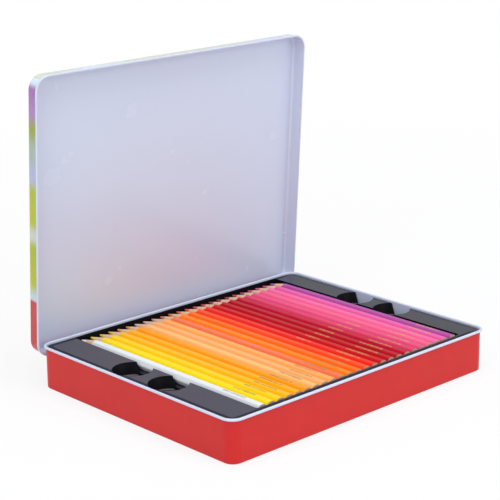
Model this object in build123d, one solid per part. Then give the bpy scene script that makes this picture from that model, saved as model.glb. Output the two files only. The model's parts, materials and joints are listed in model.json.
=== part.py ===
from build123d import *
import os
from math import cos, radians, sin, tan

# A flat hinged tin that holds three stacked trays of hexagonal coloured pencils, its lid standing open.
# All sizes are in millimetres. X runs along the hinge, -Y is the front, +Z is up, and the origin is the
# middle of the tin's flat underside. It is sized from the pencils outwards: pencils, trays, base, lid.

# ---- pencils
pencil_length = 175.0        # flat end to point
pencil_flats = 6.9           # across two opposite flats of the barrel
pencil_edge_round = 1.5      # rounding of the barrel's six long edges
pencil_gap = 0.2             # between the edges of two neighbours in a tray
core_radius = 1.65           # coloured core
glue_gap = 0.05              # between the core and the bore in the wood
point_angle = 12.0           # between the sharpened cone and the pencil's axis
point_radius = 0.45          # blunt end of the point
point_round = 0.3            # rounding of the blunt end

# ---- trays, thermoformed from one sheet and stacked on their outer skirts
tray_count = 3
pencils_per_tray = 24
tray_sheet = 0.6             # plastic sheet
recess_depth = 6.4           # top of the tray down to the floor that the pencils lie on
recess_corner = 2.0          # upright corners of the recess
layer_headroom = 1.82        # top of the pencils to the tray above
stack_gap = 0.05             # between a tray and what it stands on
row_clearance = 1.8          # outer pencils to the recess's side walls
tip_clearance = 1.0          # points to the recess's rear wall
end_clearance = 1.4          # flat ends to the recess's front wall
left_margin = 24.7           # wide shelf left of the pencils
right_margin = 18.5          # narrower shelf right of the pencils
front_margin = 4.6
rear_margin = 0.6
tray_edge_round = 0.4        # rounding round the top of the tray
well_radius = 13.2           # round finger wells in the shelves, at the top
well_lean = 13.0             # between a well's wall and upright
well_spacing = 35.2          # between the two wells of a shelf
well_middle_y = -0.6         # middle of each pair of wells
left_well_reach = 10.4       # recess's left wall to the left wells' middle
right_well_reach = 8.6       # recess's right wall to the right wells' middle
well_round = 1.6             # rounding between a well's wall and its floor
well_ledge = 0.9             # ledge at the recess floor's height, between a well and the recess

# ---- base, pressed from tinplate with a rolled rim
sheet = 0.4                  # tinplate of base and lid
tray_clearance = 0.8         # trays to the tin's inner walls
base_corner = 7.5            # upright corners, outside
foot_round = 1.3             # outside rounding at the bottom, small enough for the lowest tray's foot
bead_radius = 0.9            # rolled rim
rim_above_pencils = 0.8      # top of the upper pencils to the top of the rim

# ---- lid, pressed from tinplate, with a smaller rolled edge
lid_end_clearance = 0.4      # lid to the rim, front and rear
lid_side_clearance = 0.6     # lid to the rim, left and right
lid_overlap = 9.0            # how far the closed lid reaches down past the rim's top
lid_headroom = 1.0           # rim's top to the inside of the lid's panel
lid_shoulder = 2.4           # outside rounding between the panel and the skirt
curl_radius = 0.6            # rolled edge of the lid
rest_boss_radius = 1.1       # small pressed boss near each side, which rests on the rim
rest_boss_gap = 0.2          # boss to the rim when the lid is closed
rest_boss_from_rear = 36.0   # lid's rear face to the bosses

# ---- hinges: curled knuckles of base and lid round a loose wire
open_angle = 86.5            # lid's rest against the rear wall
stop_gap = 0.3               # lid's rolled edge to the rear wall at that rest
wire_radius = 0.5
wire_clearance = 0.05        # wire to the knuckles
knuckle_wall = 0.4
knuckle_gap = 0.3            # between neighbouring knuckles, and from knuckles to the skirt's cut-out
knuckles_per_hinge = 5
hinge_length = 44.0
hinge_spacing = 124.0        # between the middles of the two hinges

# ---- worked out: pencils and trays
edge_width = pencil_flats / cos(radians(30)) - 2 * pencil_edge_round * (1 / cos(radians(30)) - 1)
pencil_pitch = edge_width + pencil_gap
recess_length = pencils_per_tray * pencil_pitch + 2 * row_clearance
recess_width = tip_clearance + pencil_length + end_clearance
tray_length = left_margin + recess_length + right_margin
tray_width = front_margin + recess_width + rear_margin
tray_pitch = pencil_flats + layer_headroom + tray_sheet
tray_height = tray_pitch - stack_gap
tray_corner = base_corner - sheet - tray_clearance
recess_left = -tray_length / 2 + left_margin
recess_right = recess_left + recess_length
recess_front = -tray_width / 2 + front_margin
recess_rear = recess_front + recess_width
recess_floor = tray_height - recess_depth
first_pencil_x = recess_left + row_clearance + pencil_pitch / 2
pencil_end_y = recess_front + end_clearance

# ---- worked out: base
base_length = tray_length + 2 * (tray_clearance + sheet)
base_width = tray_width + 2 * (tray_clearance + sheet)
top_pencils_z = sheet + (tray_count - 1) * tray_pitch + stack_gap + recess_floor + pencil_flats
base_height = top_pencils_z + rim_above_pencils
wall_outer_y = base_width / 2
bead_middle_z = base_height - bead_radius
bead_length = base_length - 2 * sheet + 2 * bead_radius
bead_width = base_width - 2 * sheet + 2 * bead_radius
bead_corner = base_corner - sheet + bead_radius

# ---- worked out: lid, closed
lid_inner_length = bead_length + 2 * bead_radius + 2 * lid_side_clearance
lid_inner_width = bead_width + 2 * bead_radius + 2 * lid_end_clearance
lid_inner_corner = bead_corner + bead_radius + lid_end_clearance
lid_outer_y = lid_inner_width / 2 + sheet
lid_edge_z = base_height - lid_overlap
lid_depth = lid_overlap + lid_headroom + sheet

# ---- worked out: hinge axis. Its height brings the lid's rolled edge to the rear wall at the open angle.
bore_radius = wire_radius + wire_clearance
knuckle_radius = bore_radius + knuckle_wall
knuckle_width = (hinge_length - (knuckles_per_hinge - 1) * knuckle_gap) / knuckles_per_hinge
axis_y = lid_outer_y - knuckle_radius
curl_behind_axis = lid_inner_width / 2 + curl_radius - axis_y
curl_rest_y = wall_outer_y + stop_gap + curl_radius
swing = radians(open_angle)
curl_below_axis = (axis_y + curl_behind_axis * cos(swing) - curl_rest_y) / sin(swing)
axis_z = lid_edge_z + curl_radius + curl_below_axis


def rounded_block(length, width, corner, height):
    """An upright block with rounded corners, standing on z = 0."""
    return extrude(RectangleRounded(length, width, corner), height)


def round_ends(form, end, radius):
    """Rounds the edges of a form's lowest (end 0) or highest (end -1) face."""
    return fillet(form.faces().sort_by(Axis.Z)[end].edges(), radius)


def pressed_shell(length, width, corner, depth, edge_round):
    """A shallow tinplate pan, open at the top, with its outside bottom on z = 0."""
    outside = round_ends(rounded_block(length, width, corner, depth), 0, edge_round)
    inside = rounded_block(length - 2 * sheet, width - 2 * sheet, corner - sheet, depth)
    return outside - Pos(0, 0, sheet) * round_ends(inside, 0, edge_round - sheet)


def rolled_edge(length, width, corner, radius):
    """A round bead at z = 0 whose centre line is a rounded rectangle of the given size."""
    path = RectangleRounded(length, width, corner).face().outer_wire()
    section = Plane(path @ 0, z_dir=path % 0) * Circle(radius)
    return sweep(section, path)


def along_hinge(radius, length, middle_x):
    """A round bar on the hinge axis."""
    return Pos(middle_x, axis_y, axis_z) * Rot(0, 90, 0) * Cylinder(radius, length)


def block(x_range, y_range, z_range):
    """A plain block between two corners."""
    size = [high - low for low, high in (x_range, y_range, z_range)]
    middle = [(high + low) / 2 for low, high in (x_range, y_range, z_range)]
    return Pos(*middle) * Box(*size)


def hinge_middles():
    return [side * hinge_spacing / 2 for side in (-1, 1)]


def knuckle_middles(middle_x, first):
    """Middles of every other knuckle of one hinge: the base has the even ones, the lid the odd ones."""
    start = middle_x - hinge_length / 2 + knuckle_width / 2
    return [start + k * (knuckle_width + knuckle_gap) for k in range(first, knuckles_per_hinge, 2)]


def span(middle, width):
    return (middle - width / 2, middle + width / 2)


def base_knuckle(middle_x):
    """A tab out of the rear wall that curls round the wire."""
    tab_z = (axis_z - knuckle_radius, axis_z - knuckle_radius + knuckle_wall)
    tab = block(span(middle_x, knuckle_width), (wall_outer_y - sheet / 2, axis_y), tab_z)
    return tab + along_hinge(knuckle_radius, knuckle_width, middle_x)


def lid_knuckle(middle_x, strap_top):
    """A strap down from the lid's rear skirt that curls round the wire."""
    strap_y = (lid_outer_y - sheet, lid_outer_y)
    strap = block(span(middle_x, knuckle_width), strap_y, (axis_z, strap_top))
    return strap + along_hinge(knuckle_radius, knuckle_width, middle_x)


def base_tin():
    """The red pan, its rolled rim and the base's share of the hinge knuckles."""
    pan = pressed_shell(base_length, base_width, base_corner, bead_middle_z, foot_round)
    tin = pan + Pos(0, 0, bead_middle_z) * rolled_edge(bead_length, bead_width, bead_corner, bead_radius)
    for middle_x in hinge_middles():
        for knuckle_x in knuckle_middles(middle_x, 0):
            tin += base_knuckle(knuckle_x)
        tin -= along_hinge(bore_radius, hinge_length, middle_x)
    return tin


def rest_boss(side, lid_block):
    """A small pressed boss inside the lid, over the rim, kept within the lid's outer form."""
    boss_x = side * bead_length / 2
    boss_y = lid_outer_y - rest_boss_from_rear
    boss_z = base_height + rest_boss_gap + rest_boss_radius
    return lid_block & (Pos(boss_x, boss_y, boss_z) * Sphere(rest_boss_radius))


def closed_lid():
    """The lid as it lies on the base: a pan turned over, its rolled edge, bosses and hinge straps."""
    length = lid_inner_length + 2 * sheet
    width = lid_inner_width + 2 * sheet
    corner = lid_inner_corner + sheet
    turn_over = Pos(0, 0, lid_edge_z + lid_depth) * Rot(180, 0, 0)
    lid = turn_over * pressed_shell(length, width, corner, lid_depth, lid_shoulder)
    lid_block = turn_over * round_ends(rounded_block(length, width, corner, lid_depth), 0, lid_shoulder)
    lid += Pos(0, 0, lid_edge_z + curl_radius) * rolled_edge(
        lid_inner_length + 2 * curl_radius,
        lid_inner_width + 2 * curl_radius,
        lid_inner_corner + curl_radius,
        curl_radius,
    )
    for side in (-1, 1):
        lid += rest_boss(side, lid_block)
    cut_top = axis_z + knuckle_radius + knuckle_gap
    cut_y = (lid_inner_width / 2 - sheet, lid_outer_y + 2 * curl_radius)
    for middle_x in hinge_middles():
        cut_x = span(middle_x, hinge_length + 2 * knuckle_gap)
        lid -= block(cut_x, cut_y, (lid_edge_z - sheet, cut_top))
        for knuckle_x in knuckle_middles(middle_x, 1):
            lid += lid_knuckle(knuckle_x, cut_top)
        lid -= along_hinge(bore_radius, hinge_length, middle_x)
    return lid


def open_lid():
    """The lid swung up about the hinge axis to its rest against the rear wall."""
    to_axis = Pos(0, axis_y, axis_z)
    return to_axis * Rot(-open_angle, 0, 0) * to_axis.inverse() * closed_lid()


def well_places():
    """Middles of the four finger wells."""
    return [
        (well_x, well_middle_y + row * well_spacing / 2)
        for well_x in (recess_left - left_well_reach, recess_right + right_well_reach)
        for row in (-1, 1)
    ]


def recess_block(growth):
    """The space that the pencils lie in, grown by the sheet's thickness for the tray's underside."""
    length = recess_length + 2 * growth
    width = recess_width + 2 * growth
    middle = Pos((recess_left + recess_right) / 2, (recess_front + recess_rear) / 2, recess_floor - growth)
    return middle * rounded_block(length, width, recess_corner + growth, tray_height)


def well_block(place, growth):
    """One finger well, grown by the sheet's thickness for the underside. Its deep part ends at a ledge."""
    lean = tan(radians(well_lean))
    foot_z = tray_sheet - growth
    foot_radius = well_radius - (tray_height - foot_z) * lean + growth / cos(radians(well_lean))
    on_foot = (Align.CENTER, Align.CENTER, Align.MIN)
    well = Cone(foot_radius, foot_radius + tray_height * lean, tray_height, align=on_foot)
    well = Pos(*place, foot_z) * round_ends(well, 0, well_round + growth)
    under_recess = block(
        (recess_left - well_ledge + growth, recess_right + well_ledge - growth),
        (recess_front, recess_rear),
        (0, recess_floor - growth),
    )
    return well - under_recess


def tray():
    """One tray, standing on z = 0: shelves, recess and wells, hollow beneath."""
    body = round_ends(rounded_block(tray_length, tray_width, tray_corner, tray_height), -1, tray_edge_round)
    hollow = rounded_block(
        tray_length - 2 * tray_sheet,
        tray_width - 2 * tray_sheet,
        tray_corner - tray_sheet,
        tray_height - tray_sheet,
    )
    body -= recess_block(0)
    hollow -= recess_block(tray_sheet)
    for place in well_places():
        body -= well_block(place, 0)
        hollow -= well_block(place, tray_sheet)
    return body - hollow


def sharpened_form(radius):
    """A sharpened round bar on +Z, from the flat end at z = 0 to where the core is bare."""
    slope = tan(radians(point_angle))
    shoulder_z = pencil_length - (radius - point_radius) / slope
    bare_z = pencil_length - (core_radius - point_radius) / slope
    corners = [(0, 0), (radius, 0), (radius, shoulder_z), (core_radius, bare_z), (0, bare_z), (0, 0)]
    return revolve(Plane.XZ * make_face(Polyline(*corners)), Axis.Z)


def pencil_casing():
    """The hexagonal wooden casing, bored for the core and sharpened."""
    hexagon = RegularPolygon(pencil_flats / 2, 6, major_radius=False)
    barrel = extrude(fillet(hexagon.vertices(), pencil_edge_round), pencil_length)
    bore = Cylinder(core_radius + glue_gap, pencil_length, align=(Align.CENTER, Align.CENTER, Align.MIN))
    return (barrel & sharpened_form(pencil_flats)) - bore


def pencil_core():
    """The coloured core, from the flat end to the blunt point."""
    slope = tan(radians(point_angle))
    bare_z = pencil_length - (core_radius - point_radius) / slope
    side = [(core_radius, 0), (core_radius, bare_z), (point_radius, pencil_length)]
    outline = Polyline((0, 0), *side, (0, pencil_length), (0, 0))
    core = revolve(Plane.XZ * make_face(outline), Axis.Z)
    return fillet(core.edges().sort_by(Axis.Z)[-1], point_round)


def laid_in_tray(piece, index, level):
    """A pencil's piece, laid in place number index of the tray at the given level, point to the rear."""
    floor_z = sheet + level * tray_pitch + stack_gap + recess_floor
    place = Pos(first_pencil_x + index * pencil_pitch, pencil_end_y, floor_z + pencil_flats / 2)
    return place * Rot(-90, 0, 0) * piece


def all_nodes():
    """Every node's name and shape."""
    nodes = {"base_tin": base_tin(), "lid": open_lid()}
    for name, middle_x in zip(("hinge_wire_left", "hinge_wire_right"), hinge_middles()):
        nodes[name] = along_hinge(wire_radius, hinge_length, middle_x)
    one_tray = tray()
    casing = pencil_casing()
    core = pencil_core()
    for level, level_name in enumerate(("bottom", "middle", "top")):
        nodes[f"{level_name}_tray"] = Pos(0, 0, sheet + level * tray_pitch + stack_gap) * one_tray
        casings = [laid_in_tray(casing, index, level) for index in range(pencils_per_tray)]
        cores = [laid_in_tray(core, index, level) for index in range(pencils_per_tray)]
        if level_name == "top":
            for index in range(pencils_per_tray):
                nodes[f"pencil_{index + 1:02d}_casing"] = casings[index]
                nodes[f"pencil_{index + 1:02d}_core"] = cores[index]
        else:
            nodes[f"{level_name}_pencil_casings"] = Compound(children=casings)
            nodes[f"{level_name}_pencil_cores"] = Compound(children=cores)
    return nodes


os.makedirs("parts", exist_ok=True)
print(f"base {base_length:.2f} x {base_width:.2f} x {base_height:.2f}, pencil pitch {pencil_pitch:.3f}")
print(f"tray {tray_length:.2f} x {tray_width:.2f}, tray pitch {tray_pitch:.3f}")
print(f"hinge axis y {axis_y:.4f} z {axis_z:.4f}, lid depth {lid_depth:.2f}, lid edge z {lid_edge_z:.2f}")
for node_name, shape in all_nodes().items():
    export_step(shape, f"parts/{node_name}.step")
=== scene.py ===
# %% [markdown]
# # An open tin of coloured pencils
# The CAD model already holds every piece of the real object at its true size: the red tin, its lid, the hinge
# wires, three black trays and 72 pencils. This lesson loads it as a fixed frame, sets the camera, gives each piece
# its finish, lays the small gold marks on the pencils, and then builds the studio's floor and light.
# We never move the CAD pieces. Looks come from materials and from a few thin pieces laid on top.

import json
import math

import bpy
from mathutils import Matrix, Vector


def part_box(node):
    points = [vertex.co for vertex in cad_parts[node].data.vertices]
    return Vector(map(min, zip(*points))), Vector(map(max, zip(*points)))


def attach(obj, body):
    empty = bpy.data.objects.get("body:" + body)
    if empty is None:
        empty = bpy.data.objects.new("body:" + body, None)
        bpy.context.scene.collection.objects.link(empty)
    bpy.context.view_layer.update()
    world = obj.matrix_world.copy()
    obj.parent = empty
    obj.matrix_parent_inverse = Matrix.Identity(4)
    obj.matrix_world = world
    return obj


MM = 0.001
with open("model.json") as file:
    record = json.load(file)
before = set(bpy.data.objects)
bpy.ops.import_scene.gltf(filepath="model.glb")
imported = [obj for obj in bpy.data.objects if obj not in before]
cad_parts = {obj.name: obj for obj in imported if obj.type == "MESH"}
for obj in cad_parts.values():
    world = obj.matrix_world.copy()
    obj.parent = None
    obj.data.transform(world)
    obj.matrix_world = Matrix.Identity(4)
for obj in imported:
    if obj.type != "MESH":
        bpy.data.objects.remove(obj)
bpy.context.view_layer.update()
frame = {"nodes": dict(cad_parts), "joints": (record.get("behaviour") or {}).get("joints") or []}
nodes = frame["nodes"]

# %% [markdown]
# ## The camera
# A product photograph is usually taken from some distance with a long lens, which keeps upright edges nearly
# parallel. We could place a camera by eye, but a camera that is worked out from a direction, a distance and a
# focal length is easier to correct. Blender's camera looks along its own -Z, so the three columns of its
# rotation are the directions of its right, its up and its back.

# %% Place the camera
IMAGE_SIDE = 500
camera_azimuth = math.radians(-43.4356)
camera_elevation = math.radians(16.3607)
camera_roll = math.radians(-0.4473)
camera_distance = 1103.47 * MM
camera_target = Vector((8.67, 24.58, 83.38)) * MM
focal_pixels = 1636.52
image_middle = (249.145, 249.129)

level = math.cos(camera_elevation)
back = Vector((math.sin(camera_azimuth) * level, -math.cos(camera_azimuth) * level, math.sin(camera_elevation)))
flat_right = Vector((math.cos(camera_azimuth), math.sin(camera_azimuth), 0))
flat_up = back.cross(flat_right)
right = flat_right * math.cos(camera_roll) + flat_up * math.sin(camera_roll)
up = flat_up * math.cos(camera_roll) - flat_right * math.sin(camera_roll)

lens = bpy.data.cameras.new("studio_camera")
lens.sensor_width = 36
lens.lens = focal_pixels * lens.sensor_width / IMAGE_SIDE
lens.shift_x = (IMAGE_SIDE / 2 - image_middle[0]) / IMAGE_SIDE
lens.shift_y = (image_middle[1] - IMAGE_SIDE / 2) / IMAGE_SIDE
lens.clip_start, lens.clip_end = 0.05, 20
camera = bpy.data.objects.new("studio_camera", lens)
camera.matrix_world = Matrix.Translation(camera_target + back * camera_distance) @ Matrix(
    (right, up, back)
).transposed().to_4x4()
bpy.context.scene.collection.objects.link(camera)
bpy.context.scene.camera = camera
print("camera at", [round(v, 4) for v in camera.matrix_world.translation], "lens", round(lens.lens, 2), "mm")

# %% [markdown]
# ## Writing a material as sums
# A material is a network of nodes. Clicking one together is fine for a picture, but in a script the wiring soon
# hides the idea. So we wrap a socket in a small class, `Wire`. Adding, multiplying or comparing two wires adds
# the Math node that does it, and `1 - mask` reads as it would on paper. `Network` is a tree of nodes, such as the
# sky's. Its `node` method makes any other node: the type, then its settings, then its inputs. `Finish` is the
# network of one material.

# %% Shader maths with plain operators
class Wire:
    """A number or colour that flows through one network."""

    def __init__(self, network, socket):
        self.network = network
        self.socket = socket

    def maths(self, operation, *values):
        return self.network.node("ShaderNodeMath", {"operation": operation}, dict(enumerate((self, *values))))

    def __add__(self, other):
        return self.maths("ADD", other)

    __radd__ = __add__

    def __sub__(self, other):
        return self.maths("SUBTRACT", other)

    def __rsub__(self, other):
        return self.network.node("ShaderNodeMath", {"operation": "SUBTRACT"}, {0: other, 1: self})

    def __mul__(self, other):
        return self.maths("MULTIPLY", other)

    __rmul__ = __mul__

    def __truediv__(self, other):
        return self.maths("DIVIDE", other)

    def __gt__(self, other):
        return self.maths("GREATER_THAN", other)

    def __lt__(self, other):
        return self.maths("LESS_THAN", other)

    def __abs__(self):
        return self.maths("ABSOLUTE")


print("a wire adds, subtracts, multiplies, divides and compares")

# %% A network of nodes
class Network:
    """A tree of nodes. Its methods add nodes and hand back the wires that leave them."""

    def __init__(self, tree):
        self.tree = tree

    def node(self, kind, settings=None, inputs=None, output=0):
        """One node: its type, then its settings, then what goes into its sockets."""
        made = self.tree.nodes.new(kind)
        for name, value in (settings or {}).items():
            if name == "stops":
                self.set_stops(made.color_ramp, value)
            else:
                setattr(made.color_ramp if name == "interpolation" else made, name, value)
        for name, value in (inputs or {}).items():
            self.join(made.inputs[name], value)
        return Wire(self, made.outputs[output])

    def set_stops(self, ramp, stops):
        while len(ramp.elements) < len(stops):
            ramp.elements.new(1.0)
        for element, (position, colour) in zip(ramp.elements, stops):
            element.position = position
            element.color = colour

    def join(self, socket, value):
        if isinstance(value, Wire):
            self.tree.links.new(value.socket, socket)
        else:
            socket.default_value = value

    def ramp(self, value, low, high, at_low=0.0, at_high=1.0):
        """at_low where the value is low or less, at_high where it is high or more, and evenly between."""
        return self.node("ShaderNodeMapRange", inputs={0: value, 1: low, 2: high, 3: at_low, 4: at_high})


print("a network makes one node at a time, or a ramp")

# %% A finish is one material's network
BUMP_DEPTH = 0.2 * MM


class Finish(Network):
    """One material: a Principled shader and the nodes that feed it."""

    def __init__(self, name, **shader_values):
        self.material = bpy.data.materials.new(name)
        self.material.use_nodes = True
        super().__init__(self.material.node_tree)
        self.shader = self.tree.nodes["Principled BSDF"]
        for socket_name, value in shader_values.items():
            self.feed(socket_name.replace("_", " "), value)

    def feed(self, socket_name, value):
        self.join(self.shader.inputs[socket_name], value)

    def position(self):
        """X, Y and Z on the piece, in millimetres, as three wires."""
        place = self.node("ShaderNodeTexCoord", output="Object")
        scaled = self.node("ShaderNodeVectorMath", {"operation": "SCALE"}, {0: place, "Scale": 1 / MM})
        return [self.node("ShaderNodeSeparateXYZ", inputs={0: scaled}, output=axis) for axis in "XYZ"]

    def facing(self):
        """X, Y and Z of the surface's own direction, as three wires."""
        normal = self.node("ShaderNodeTexCoord", output="Normal")
        return [self.node("ShaderNodeSeparateXYZ", inputs={0: normal}, output=axis) for axis in "XYZ"]

    def noise(self, scale, detail=2.0, stretch=(1, 1, 1)):
        """Soft random spots. Scale counts them per metre, and a stretch below 1 draws them out along its axis."""
        place = self.node("ShaderNodeTexCoord", output="Object")
        stretched = self.node("ShaderNodeMapping", inputs={"Vector": place, "Scale": stretch})
        return self.node("ShaderNodeTexNoise", inputs={"Vector": stretched, "Scale": scale, "Detail": detail})

    def mix(self, mask, first, second):
        """The first colour where the mask is 0, the second where it is 1."""
        settings = {"data_type": "RGBA", "blend_type": "MIX"}
        return self.node("ShaderNodeMix", settings, {0: mask, 6: first, 7: second}, output=2)

    def bump(self, height, strength):
        """Lets the height tilt the surface's shading. BUMP_DEPTH is how deep a height of 1 is."""
        inputs = {"Strength": strength, "Distance": BUMP_DEPTH, "Height": height}
        self.feed("Normal", self.node("ShaderNodeBump", inputs=inputs))


print("a finish bumps its surface by up to", BUMP_DEPTH / MM, "mm")

# %% Colours, and dressing a CAD node
def paint(red, green, blue):
    """A colour as a screen shows it, 0 to 255, turned into the linear light that shaders use."""

    def linear(c):
        return ((c / 255 + 0.055) / 1.055) ** 2.4 if c > 10 else c / 255 / 12.92

    return linear(red), linear(green), linear(blue), 1.0


def wear(finish_of_node):
    """Gives CAD nodes their finishes, from a table of node name to finish."""
    for node_name, finish in finish_of_node.items():
        material_slots = nodes[node_name].data.materials
        material_slots.clear()
        material_slots.append(finish.material)


print("a grey of 128 out of 255 is", round(paint(128, 128, 128)[0], 3), "in linear light")

# %% [markdown]
# ## Printed tinplate
# The tin is pressed from sheet steel that was coloured before it was bent: red outside, white enamel inside, and
# the white edge is rolled outwards, so it shows as a pale rim. Two separate materials would need the faces sorted.
# One material can tell the sides apart: outside, the surface faces away from the middle of the tin. For a wall
# that is its facing times its place, added up for X and Y. A panel faces along Z only, and gets a fixed weight.
# Thin paint on steel is never perfectly even, so noise shifts the colour and the gloss a little and adds a slight
# orange peel.

# %% Red outside, white inside and on the rolled rim
enamel_white = paint(205, 214, 233)
rim_white = paint(206, 214, 233)
tin_red = paint(214, 38, 34)
tin_red_deep = paint(200, 34, 31)
RIM_UNDERSIDE_Z = 27.9
PANEL_WEIGHT = 50.0
ENAMEL_COAT, RED_COAT = 0.15, 0.03


def outward(place, facing, panel_side):
    """1 where a pan's surface faces away from its middle. Its panel is its bottom, -1, or its top, 1."""
    return facing[0] * place[0] + facing[1] * place[1] + facing[2] * (panel_side * PANEL_WEIGHT) > 0


tin_finish = Finish("red_tinplate", Specular_IOR_Level=0.25, Coat_Roughness=0.12)
place = tin_finish.position()
is_rim = place[2] > RIM_UNDERSIDE_Z
is_red = outward(place, tin_finish.facing(), -1) * (place[2] < RIM_UNDERSIDE_Z)
mottle = tin_finish.noise(55, detail=3)
red = tin_finish.mix(mottle, tin_red_deep, tin_red)
white = tin_finish.mix(is_rim, enamel_white, rim_white)
tin_finish.feed("Base Color", tin_finish.mix(is_red, white, red))
tin_finish.feed("Roughness", mottle * 0.10 + 0.30)
tin_finish.feed("Coat Weight", ENAMEL_COAT - is_red * (ENAMEL_COAT - RED_COAT))
tin_finish.bump(tin_finish.noise(900), strength=0.05)
wear({"base_tin": tin_finish})
print("base_tin wears", tin_finish.material.name)

# %% [markdown]
# ## The lid: enamel inside, colour bands outside
# The lid's outside carries a printed design of bright colour, with a plain red field next to the hinge. Any
# picture would do. Here wavy slanting bands run over the lid, as if a hand had tried out a row of pencils. The
# pattern is drawn on the lid as it lies closed, because there its edges follow X and Y. A few sums turn the
# open lid's position back to that, about the hinge's axis. Places along the lid count from 0 at the hinge to 1 at
# the far end. The slant takes some of them past 1, and there the colours go on from the middle of the list. Inside,
# the sheet bends into its side walls in a fillet, which catches a little more light than the flat middle. That
# light is painted: the fillet and the side walls get a paler enamel, a painted highlight.

# %% Turn the lid's coordinates back to closed
lid_joint = next(j for j in frame["joints"] if j["name"] == "lid_hinge")
hinge_y = lid_joint["pos_m"][1] / MM
hinge_z = lid_joint["pos_m"][2] / MM
open_angle = -math.radians(lid_joint["range_deg"][0])
cos_open, sin_open = math.cos(open_angle), math.sin(open_angle)


def closed_direction(y, z):
    """Turns a direction on the open lid to where it points when the lid is closed."""
    return y * cos_open - z * sin_open, y * sin_open + z * cos_open


lid_finish = Finish("printed_lid", Specular_IOR_Level=0.35, Coat_Roughness=0.10)
x, open_y, open_z = lid_finish.position()
turned_y, turned_z = closed_direction(open_y - hinge_y, open_z - hinge_z)
closed_y, closed_z = turned_y + hinge_y, turned_z + hinge_z
nx, open_ny, open_nz = lid_finish.facing()
ny, nz = closed_direction(open_ny, open_nz)
is_outside = outward((x, closed_y), (nx, ny, nz), 1)
print("hinge at y", hinge_y, "z", hinge_z, "open", round(math.degrees(open_angle), 2), "degrees")

# %% The bands' colours, from the hinge to the far end
band_colours = [
    (0.00, paint(198, 40, 44)),
    (0.195, paint(202, 44, 48)),
    (0.205, paint(196, 212, 220)),
    (0.27, paint(184, 188, 8)),
    (0.40, paint(174, 184, 10)),
    (0.44, paint(206, 210, 198)),
    (0.49, paint(184, 190, 12)),
    (0.59, paint(180, 188, 34)),
    (0.64, paint(178, 184, 216)),
    (0.74, paint(168, 186, 170)),
    (0.82, paint(156, 164, 52)),
    (0.88, paint(174, 132, 186)),
    (0.96, paint(166, 112, 176)),
    (0.985, paint(204, 226, 236)),
]
print(len(band_colours), "band colours")

# %% Draw the bands
LID_LENGTH, LID_WIDTH = 190.0, 240.0
RED_FIELD_END = 0.19
BAND_SLANT = 0.30
BAND_WAVES = 0.05
STEP_BACK_PAST_1 = 0.62
END_WALL_STARTS, END_WALL_FULL = 0.978, 0.992
END_WALL_PALER = 0.6
CRAYON_GRAIN = 0.06
wobble = lid_finish.noise(14, detail=1.5)
from_hinge = (LID_LENGTH / 2 - closed_y) / LID_LENGTH
slant = (x + LID_WIDTH / 2) / LID_WIDTH * BAND_SLANT
band_place = from_hinge + slant * (from_hinge > RED_FIELD_END) + (wobble - 0.5) * BAND_WAVES
kept_in_list = band_place - (band_place > 1.0) * STEP_BACK_PAST_1
ramp_settings = {"stops": band_colours, "interpolation": "EASE"}
bands = lid_finish.node("ShaderNodeValToRGB", ramp_settings, {0: kept_in_list})
crayon = lid_finish.noise(260, detail=4, stretch=(1, 1, 0.2))
on_end_wall = lid_finish.ramp(from_hinge, END_WALL_STARTS, END_WALL_FULL)
pastel = lid_finish.mix(on_end_wall * END_WALL_PALER, bands, paint(226, 232, 248))
printed = lid_finish.mix(crayon * CRAYON_GRAIN, pastel, paint(246, 246, 246))
print("bands over", LID_LENGTH, "mm, red up to", round(RED_FIELD_END * LID_LENGTH, 1), "mm from the hinge")

# %% Join the print to the enamel
LID_CURL_TOP_Z = 21.9
FILLET_FACING, SIDE_WALL_FACING = 0.2, 0.9
LID_ENAMEL_COAT, PRINT_COAT = 0.3, 0.05
is_inside = 1 - is_outside
is_printed = is_outside * (closed_z > LID_CURL_TOP_Z)
is_curl = closed_z < LID_CURL_TOP_Z
sideways = abs(nx)
is_side_wall = (sideways > SIDE_WALL_FACING) * is_inside
is_fillet = (sideways > FILLET_FACING) * (sideways < SIDE_WALL_FACING) * (nz < 0) * is_inside
# Painted highlight: the side walls and the fillet inside the lid are painted paler than the flat middle.
wall_painted_highlight = lid_finish.mix(is_side_wall, enamel_white, paint(211, 221, 240))
fillet_painted_highlight = lid_finish.mix(is_fillet, wall_painted_highlight, paint(218, 228, 248))
lid_white = lid_finish.mix(is_curl, fillet_painted_highlight, rim_white)
lid_finish.feed("Base Color", lid_finish.mix(is_printed, lid_white, printed))
lid_finish.feed("Roughness", lid_finish.noise(40) * 0.08 + 0.22)
lid_finish.feed("Coat Weight", LID_ENAMEL_COAT - is_printed * (LID_ENAMEL_COAT - PRINT_COAT))
lid_finish.bump(lid_finish.noise(700), strength=0.04)
wear({"lid": lid_finish})
print("lid wears", lid_finish.material.name)
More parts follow.
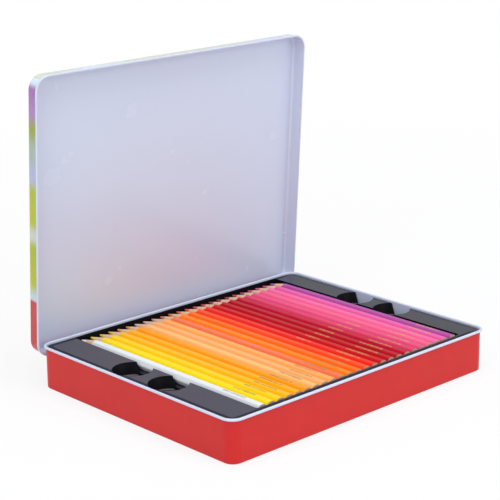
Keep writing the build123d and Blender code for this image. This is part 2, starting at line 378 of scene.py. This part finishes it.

# %% [markdown]
# ## Black trays and steel wires
# The trays are formed from thin black sheet. Only its flat tops are smooth enough to catch the pale sky as a
# grey sheen, and the walls of the wells stay nearly black. A clear coat makes such a sheen, so its weight follows
# the facing. The tops' base colour is also painted paler and purple-grey, a painted sheen. Next to the tin a dark
# line of painted shade stands in for the shade between tray and tin: the coat ends a few millimetres before the
# edge, so that strip looks dark. The material measures how far each point lies inside the tray's rounded outline.
# On the right the painted shade is weaker. The wires are bare steel, drawn through a die, so their brightness
# changes in streaks along X.

# %% How far a point lies inside the tray's outline
TRAY_CORNER = 6.3
BORDER_FULL, BORDER_ENDS = 3.3, 4.0
RIGHT_STARTS_X, RIGHT_FULL_X = 104.0, 110.0
PAINTED_SHADE_WEAKER_ON_RIGHT = 0.7
tray_finish = Finish("black_tray_sheet", Specular_IOR_Level=0.12, Coat_Roughness=0.34, Coat_IOR=1.5)
_, tray_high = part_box("top_tray")
x, y, _ = tray_finish.position()
past_x = abs(x) - (tray_high.x / MM - TRAY_CORNER)
past_y = abs(y) - (tray_high.y / MM - TRAY_CORNER)
round_x, round_y = past_x.maths("MAXIMUM", 0), past_y.maths("MAXIMUM", 0)
past_corner = (round_x * round_x + round_y * round_y).maths("SQRT")
from_edge = TRAY_CORNER - (past_corner + past_x.maths("MAXIMUM", past_y).maths("MINIMUM", 0))
# Painted shade: along the tray's edge the coat is taken away, so a dark strip stands in for the shade between tray
# and tin, weaker on the right.
on_border = tray_finish.ramp(from_edge, BORDER_FULL, BORDER_ENDS, at_low=1.0, at_high=0.0)
on_right = tray_finish.ramp(x, RIGHT_STARTS_X, RIGHT_FULL_X)
border_painted_shade = on_border * (1 - on_right * PAINTED_SHADE_WEAKER_ON_RIGHT)
print("tray outline reaches", [round(v / MM, 2) for v in tray_high], "mm")

# %% Finishes of trays and wires
TOP_FACING = 0.5
TOP_PAINTED_SHEEN = 0.5
SHEEN_CUT_BY_PAINTED_SHADE = 0.9
is_top = tray_finish.facing()[2] > TOP_FACING
speckle = tray_finish.noise(420, detail=3)
sheet = tray_finish.mix(speckle, paint(10, 9, 14), paint(18, 16, 24))
# Painted sheen: the tops' base colour is mixed halfway towards a paler purple-grey, the tint of the sheen they
# catch.
tray_finish.feed("Base Color", tray_finish.mix(is_top * TOP_PAINTED_SHEEN, sheet, paint(30, 25, 48)))
# Painted shade at the border: the coat, and so the sheen, is cut there.
tray_finish.feed("Coat Weight", is_top * (1 - border_painted_shade * SHEEN_CUT_BY_PAINTED_SHADE))
tray_finish.feed("Roughness", tray_finish.noise(60) * 0.10 + 0.40)
tray_finish.bump(speckle, strength=0.06)

wire_finish = Finish("drawn_steel_wire", Metallic=1.0)
streak = wire_finish.noise(900, detail=3, stretch=(0.05, 1, 1))
wire_finish.feed("Base Color", wire_finish.mix(streak, paint(150, 150, 156), paint(206, 206, 212)))
wire_finish.feed("Roughness", streak * 0.2 + 0.25)

wear({name: tray_finish for name in ("bottom_tray", "middle_tray", "top_tray")})
wear({name: wire_finish for name in ("hinge_wire_left", "hinge_wire_right")})
print("trays and wires are finished")

# %% [markdown]
# ## Pencils
# A pencil's casing is dipped in lacquer before it is sharpened. The long sides keep their colour, and the cone
# and the cut end show bare wood. The barrel's sides all face across the pencil, and only cone and cut end face
# along it, so the facing along Y tells wood from lacquer, and the wavy edge of the lacquer comes by itself from
# a hexagon cut by a cone. The wood gets fine grain along Y. Each colour is one entry in a list, and a
# function makes the finish.

# %% Lacquer over wood
WOOD_FACING = 0.10
LACQUER_ROUGHNESS, WOOD_ROUGHNESS = 0.30, 0.62
LACQUER_COAT = 0.05
LACQUER_UNEVENNESS = 0.16
WAX_BLOOM = 0.14
wood_light = paint(240, 206, 176)
wood_dark = paint(212, 166, 132)


def lacquer_on_wood(name, lacquer):
    """A casing's finish. The lacquer is a colour, or a function that draws one in the material."""
    finish = Finish(name, Specular_IOR_Level=0.14, Coat_Roughness=0.12)
    is_wood = abs(finish.facing()[1]) > WOOD_FACING
    grain = finish.noise(1500, detail=3, stretch=(1, 0.06, 1))
    wood = finish.mix(grain, wood_light, wood_dark)
    coat = lacquer(finish) if callable(lacquer) else lacquer
    unevenness = finish.noise(160, stretch=(1, 0.25, 1))
    thicker = finish.node("ShaderNodeGamma", inputs={"Color": coat, "Gamma": 1.5})
    uneven_coat = finish.mix(unevenness * LACQUER_UNEVENNESS, coat, thicker)
    finish.feed("Base Color", finish.mix(is_wood, uneven_coat, wood))
    finish.feed("Roughness", is_wood * (WOOD_ROUGHNESS - LACQUER_ROUGHNESS) + LACQUER_ROUGHNESS)
    finish.feed("Coat Weight", (1 - is_wood) * LACQUER_COAT)
    finish.bump(grain, strength=0.08)
    return finish


def waxy_core(name, colour):
    """A core's finish: dull wax with a faint powdery bloom."""
    finish = Finish(name, Specular_IOR_Level=0.35)
    pigment = colour(finish) if callable(colour) else colour
    bloom = finish.noise(1200, detail=3)
    finish.feed("Base Color", finish.mix(bloom * WAX_BLOOM, pigment, paint(246, 240, 236)))
    finish.feed("Roughness", bloom * 0.15 + 0.45)
    return finish


print("wood shows where the surface faces along Y by more than", WOOD_FACING)

# %% The top tray's 24 colours: a name, the lacquer and the core
top_row = [
    ("white", (226, 231, 234), (248, 246, 244)),
    ("lemon", (246, 216, 0), (246, 222, 60)),
    ("yellow", (246, 206, 0), (240, 208, 30)),
    ("golden_yellow", (252, 186, 0), (250, 186, 30)),
    ("sunflower", (252, 174, 0), (248, 170, 24)),
    ("amber", (248, 160, 6), (246, 158, 30)),
    ("sand", (248, 189, 114), (240, 190, 170)),
    ("apricot", (252, 177, 106), (240, 180, 164)),
    ("peach", (252, 172, 92), (240, 170, 150)),
    ("coral", (238, 122, 76), (226, 100, 92)),
    ("tangerine", (252, 132, 10), (250, 130, 30)),
    ("orange", (250, 110, 10), (250, 104, 28)),
    ("orange_red", (246, 76, 18), (246, 74, 40)),
    ("vermilion", (232, 42, 18), (236, 62, 50)),
    ("scarlet", (202, 12, 18), (206, 44, 50)),
    ("red", (188, 4, 12), (176, 32, 50)),
    ("carmine", (184, 2, 22), (160, 32, 56)),
    ("crimson", (192, 4, 46), (168, 34, 70)),
    ("ruby", (218, 62, 98), (214, 50, 62)),
    ("magenta", (230, 80, 130), (196, 46, 108)),
    ("rose", (240, 100, 140), (214, 70, 110)),
    ("pink", (242, 108, 158), (222, 90, 130)),
    ("hot_pink", (230, 98, 166), (220, 80, 130)),
    ("orchid", (178, 78, 158), (176, 80, 160)),
]
for number, (colour_name, lacquer_rgb, core_rgb) in enumerate(top_row, 1):
    casing = lacquer_on_wood(f"{colour_name}_casing", paint(*lacquer_rgb))
    core = waxy_core(f"{colour_name}_core", paint(*core_rgb))
    wear({f"pencil_{number:02d}_casing": casing, f"pencil_{number:02d}_core": core})
print(len(top_row), "pencils coloured, from", top_row[0][0], "to", top_row[-1][0])

# %% [markdown]
# ## The two lower trays
# Their 24 casings are one node each, so one material has to know which pencil it is on. A Color Ramp with
# constant steps does that: the position across the tray picks the step. A ramp holds at most 32 stops,
# and 24 fit.

# %% Colours by place across the tray
first_low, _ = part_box("pencil_01_casing")
_, last_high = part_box("pencil_24_casing")
HALF_GAP = 0.1
row_start = first_low.x / MM - HALF_GAP
row_length = last_high.x / MM + HALF_GAP - row_start


def row_of_colours(colours):
    """A function that draws one colour per pencil across the tray."""

    def draw(finish):
        share = (finish.position()[0] - row_start) / row_length
        stops = [(step / len(colours), paint(*rgb)) for step, rgb in enumerate(colours)]
        return finish.node("ShaderNodeValToRGB", {"stops": stops, "interpolation": "CONSTANT"}, {0: share})

    return draw


def between(first, second, count):
    """Evenly spaced colours from one to another."""
    return [[a + (b - a) * step / count for a, b in zip(first, second)] for step in range(count)]


middle_row = between((150, 84, 190), (40, 60, 170), 8) + between((30, 90, 200), (60, 190, 210), 8)
middle_row += between((40, 170, 140), (170, 210, 50), 8)
bottom_row = between((60, 120, 50), (120, 110, 40), 8) + between((200, 150, 90), (84, 50, 34), 8)
bottom_row += between((206, 206, 206), (26, 26, 28), 8)
for level_name, colours in (("middle", middle_row), ("bottom", bottom_row)):
    casings = lacquer_on_wood(f"{level_name}_row_casings", row_of_colours(colours))
    cores = waxy_core(f"{level_name}_row_cores", row_of_colours(colours))
    wear({f"{level_name}_pencil_casings": casings, f"{level_name}_pencil_cores": cores})
print("lower rows coloured,", len(middle_row), "and", len(bottom_row), "colours over", round(row_length, 1), "mm")

# %% [markdown]
# ## Gold foil marks
# Near its cut end each pencil carries a short row of ticks in gold foil, pressed into the lacquer, and the red
# pencils have a second row farther up. Ticks repeat, so Geometry Nodes make them: a line of points, a tiny plate on
# each, and a random width and length from a fixed seed. One tree serves all 24 pencils through its named inputs.
# The result is turned into a plain mesh per pencil, so that it can ride on its pencil. The foil looks dull on the
# pale pencils and bright on the red ones, so its colour follows X.

# %% The foil's finish
REDS_START_X, REDS_FULL_X = -8.0, 8.0
foil_finish = Finish("gold_foil", Metallic=0.6)
glint = foil_finish.noise(2500)
on_reds = foil_finish.ramp(foil_finish.position()[0], REDS_START_X, REDS_FULL_X)
dull_gold = foil_finish.mix(glint, paint(146, 122, 70), paint(186, 158, 90))
bright_gold = foil_finish.mix(glint, paint(208, 158, 78), paint(240, 204, 126))
foil_finish.feed("Base Color", foil_finish.mix(on_reds, dull_gold, bright_gold))
foil_finish.feed("Roughness", glint * 0.2 + 0.35)
print("foil finish ready")

# %% The tree that makes a row of foil ticks
FOIL_THICKNESS = 0.02 * MM
NARROWEST, SHORTEST = 0.45, 0.35


def foil_tree(material):
    """A line of points with a plate on each, of a random share of the full width and length."""
    tree = bpy.data.node_groups.new("foil_ticks", "GeometryNodeTree")
    tree.interface.new_socket("Geometry", in_out="INPUT", socket_type="NodeSocketGeometry")
    for name, kind in (
        ("Start", "NodeSocketVector"),
        ("Ticks", "NodeSocketInt"),
        ("Spacing", "NodeSocketFloat"),
        ("Tick Width", "NodeSocketFloat"),
        ("Tick Length", "NodeSocketFloat"),
        ("Seed", "NodeSocketInt"),
    ):
        tree.interface.new_socket(name, in_out="INPUT", socket_type=kind)
    tree.interface.new_socket("Geometry", in_out="OUTPUT", socket_type="NodeSocketGeometry")
    made = {}

    def add(name, kind, **settings):
        made[name] = tree.nodes.new(kind)
        for key, value in settings.items():
            setattr(made[name], key, value)
        return made[name]

    def link(source, output, target, target_input):
        tree.links.new(made[source].outputs[output], made[target].inputs[target_input])

    add("in", "NodeGroupInput")
    add("out", "NodeGroupOutput")
    add("step", "ShaderNodeCombineXYZ")
    add("row", "GeometryNodeMeshLine", mode="OFFSET")
    add("plate", "GeometryNodeMeshCube")
    add("plate_size", "ShaderNodeCombineXYZ")
    add("random_share", "FunctionNodeRandomValue", data_type="FLOAT_VECTOR")
    add("place", "GeometryNodeInstanceOnPoints")
    add("real", "GeometryNodeRealizeInstances")
    add("gold", "GeometryNodeSetMaterial")
    made["plate_size"].inputs["Z"].default_value = FOIL_THICKNESS
    made["random_share"].inputs[0].default_value = (NARROWEST, SHORTEST, 1.0)
    made["random_share"].inputs[1].default_value = (1.0, 1.0, 1.0)
    made["gold"].inputs["Material"].default_value = material
    link("in", "Spacing", "step", "Y")
    link("in", "Start", "row", "Start Location")
    link("in", "Ticks", "row", "Count")
    link("step", 0, "row", "Offset")
    link("in", "Tick Width", "plate_size", "X")
    link("in", "Tick Length", "plate_size", "Y")
    link("plate_size", 0, "plate", "Size")
    link("in", "Seed", "random_share", "Seed")
    link("row", 0, "place", "Points")
    link("plate", 0, "place", "Instance")
    link("random_share", 0, "place", "Scale")
    link("place", 0, "real", 0)
    link("real", 0, "gold", "Geometry")
    link("gold", 0, "out", 0)
    return tree


ticks_tree = foil_tree(foil_finish.material)
print("foil tree has", len(ticks_tree.nodes), "nodes")

# %% Lay a row of ticks on each pencil
FOIL_ROWS = [  # name, mm from the cut end, ticks, first and last pencil
    ("foil", 12.0, 15, 1, 24),
    ("upper_foil", 56.0, 10, 14, 20),
]
FOIL_SPACING = 1.35
FOIL_WIDTH = 2.2
FOIL_LENGTH = 1.0
FOIL_LIFT = 0.005


def modifier_inputs(tree, modifier, values):
    """Sets a modifier's inputs by their names, through each socket's identifier."""
    for item in tree.interface.items_tree:
        if item.item_type == "SOCKET" and item.in_out == "INPUT" and item.name in values:
            modifier[item.identifier] = values[item.name]


def plain_mesh(maker, name):
    """The maker's evaluated mesh as a new object without modifiers."""
    graph = bpy.context.evaluated_depsgraph_get()
    mesh = bpy.data.meshes.new_from_object(maker.evaluated_get(graph), depsgraph=graph)
    mesh.name = name
    bpy.data.objects.remove(maker)
    piece = bpy.data.objects.new(name, mesh)
    bpy.context.scene.collection.objects.link(piece)
    return piece


for row_name, from_end, ticks, first_pencil, last_pencil in FOIL_ROWS:
    for number in range(first_pencil, last_pencil + 1):
        low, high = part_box(f"pencil_{number:02d}_casing")
        maker = bpy.data.objects.new("foil_maker", bpy.data.meshes.new("foil_maker"))
        bpy.context.scene.collection.objects.link(maker)
        modifier = maker.modifiers.new("ticks", "NODES")
        modifier.node_group = ticks_tree
        uneven_start = number * 7 % 4  # no two neighbours start level
        values = {
            "Start": ((low.x + high.x) / 2, low.y + (from_end + uneven_start) * MM, high.z + FOIL_LIFT * MM),
            "Ticks": ticks,
            "Spacing": FOIL_SPACING * MM,
            "Tick Width": FOIL_WIDTH * MM,
            "Tick Length": FOIL_LENGTH * MM,
            "Seed": number,
        }
        modifier_inputs(ticks_tree, modifier, values)
        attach(plain_mesh(maker, f"pencil_{number:02d}_{row_name}"), f"pencil_{number:02d}")
print("foil on", len(top_row), "pencils, rows:", [row[0] for row in FOIL_ROWS])

# %% [markdown]
# ## Floor and light
# The photograph's ground is plain white, lit softly from all round. A pale sky and three large lamps do that: one
# overhead, one at the left and one in front. Raising them until the ground clips to white would bleach the object,
# so the floor glows white only to the camera and in reflections. The glow is a little weaker near the tin, where
# the floor's own shade shows through, so the tin keeps a soft shadow.

# %% A floor that looks white but keeps the shadow
FLOOR_REACH = 6.0
GLOW_NEAR, GLOW_NEAR_MM, GLOW_FULL_MM = 0.82, 200.0, 900.0
PLAIN_WHITE = (1.0, 1.0, 1.0, 1.0)
floor_mesh = bpy.data.meshes.new("studio_floor")
corners = [(sx * FLOOR_REACH, sy * FLOOR_REACH, 0) for sx, sy in ((-1, -1), (1, -1), (1, 1), (-1, 1))]
floor_mesh.from_pydata(corners, [], [(0, 1, 2, 3)])
floor = bpy.data.objects.new("studio_floor", floor_mesh)
bpy.context.scene.collection.objects.link(floor)
floor_finish = Finish("white_ground", Base_Color=paint(236, 236, 240), Roughness=0.9, Specular_IOR_Level=0.0)
camera_ray = floor_finish.node("ShaderNodeLightPath", output="Is Camera Ray")
glossy_ray = floor_finish.node("ShaderNodeLightPath", output="Is Glossy Ray")
x, y, _ = floor_finish.position()
from_tin = (x * x + y * y).maths("SQRT")
glow = floor_finish.ramp(from_tin, GLOW_NEAR_MM, GLOW_FULL_MM, at_low=GLOW_NEAR, at_high=1.0)
glowing = floor_finish.node("ShaderNodeEmission", inputs={"Color": PLAIN_WHITE, "Strength": 1.0})
lit = Wire(floor_finish, floor_finish.shader.outputs["BSDF"])
surface = floor_finish.node("ShaderNodeMixShader", inputs={0: (camera_ray + glossy_ray) * glow, 1: lit, 2: glowing})
floor_finish.join(floor_finish.tree.nodes["Material Output"].inputs["Surface"], surface)
floor_mesh.materials.append(floor_finish.material)
print("floor of", 2 * FLOOR_REACH, "m")

# %% World and lamps
OBJECT_MIDDLE = Vector((0.0, 0.0, 0.08))
SKY_COLOUR, SKY_STRENGTH = (0.93, 0.95, 1.0, 1.0), 0.54
world = bpy.data.worlds.new("studio_world")
bpy.context.scene.world = world
world.use_nodes = True
sky = Network(world.node_tree)
pale_sky = Wire(sky, sky.tree.nodes["Background"].outputs[0])
sky.join(sky.tree.nodes["Background"].inputs["Color"], SKY_COLOUR)
sky.join(sky.tree.nodes["Background"].inputs["Strength"], SKY_STRENGTH)
white_sky = sky.node("ShaderNodeBackground", inputs={"Color": PLAIN_WHITE, "Strength": 1.0})
camera_ray = sky.node("ShaderNodeLightPath", output="Is Camera Ray")
seen_sky = sky.node("ShaderNodeMixShader", inputs={0: camera_ray, 1: pale_sky, 2: white_sky})
sky.join(sky.tree.nodes["World Output"].inputs["Surface"], seen_sky)


def softbox(name, place, side, power):
    """A square lamp that points at the middle of the object. Its side is in metres, its power in watts."""
    lamp = bpy.data.lights.new(name, "AREA")
    lamp.shape = "SQUARE"
    lamp.size = side
    lamp.energy = power
    holder = bpy.data.objects.new(name, lamp)
    holder.location = place
    holder.rotation_mode = "QUATERNION"
    holder.rotation_quaternion = (OBJECT_MIDDLE - Vector(place)).to_track_quat("-Z", "Y")
    bpy.context.scene.collection.objects.link(holder)


softbox("overhead_lamp", (-0.1, -0.3, 1.9), 1.6, 22)
softbox("left_lamp", (-1.7, -0.4, 0.9), 1.2, 7.8)
softbox("front_lamp", (0.5, -1.9, 0.9), 1.2, 10.4)
bpy.context.scene.view_settings.view_transform = "Standard"
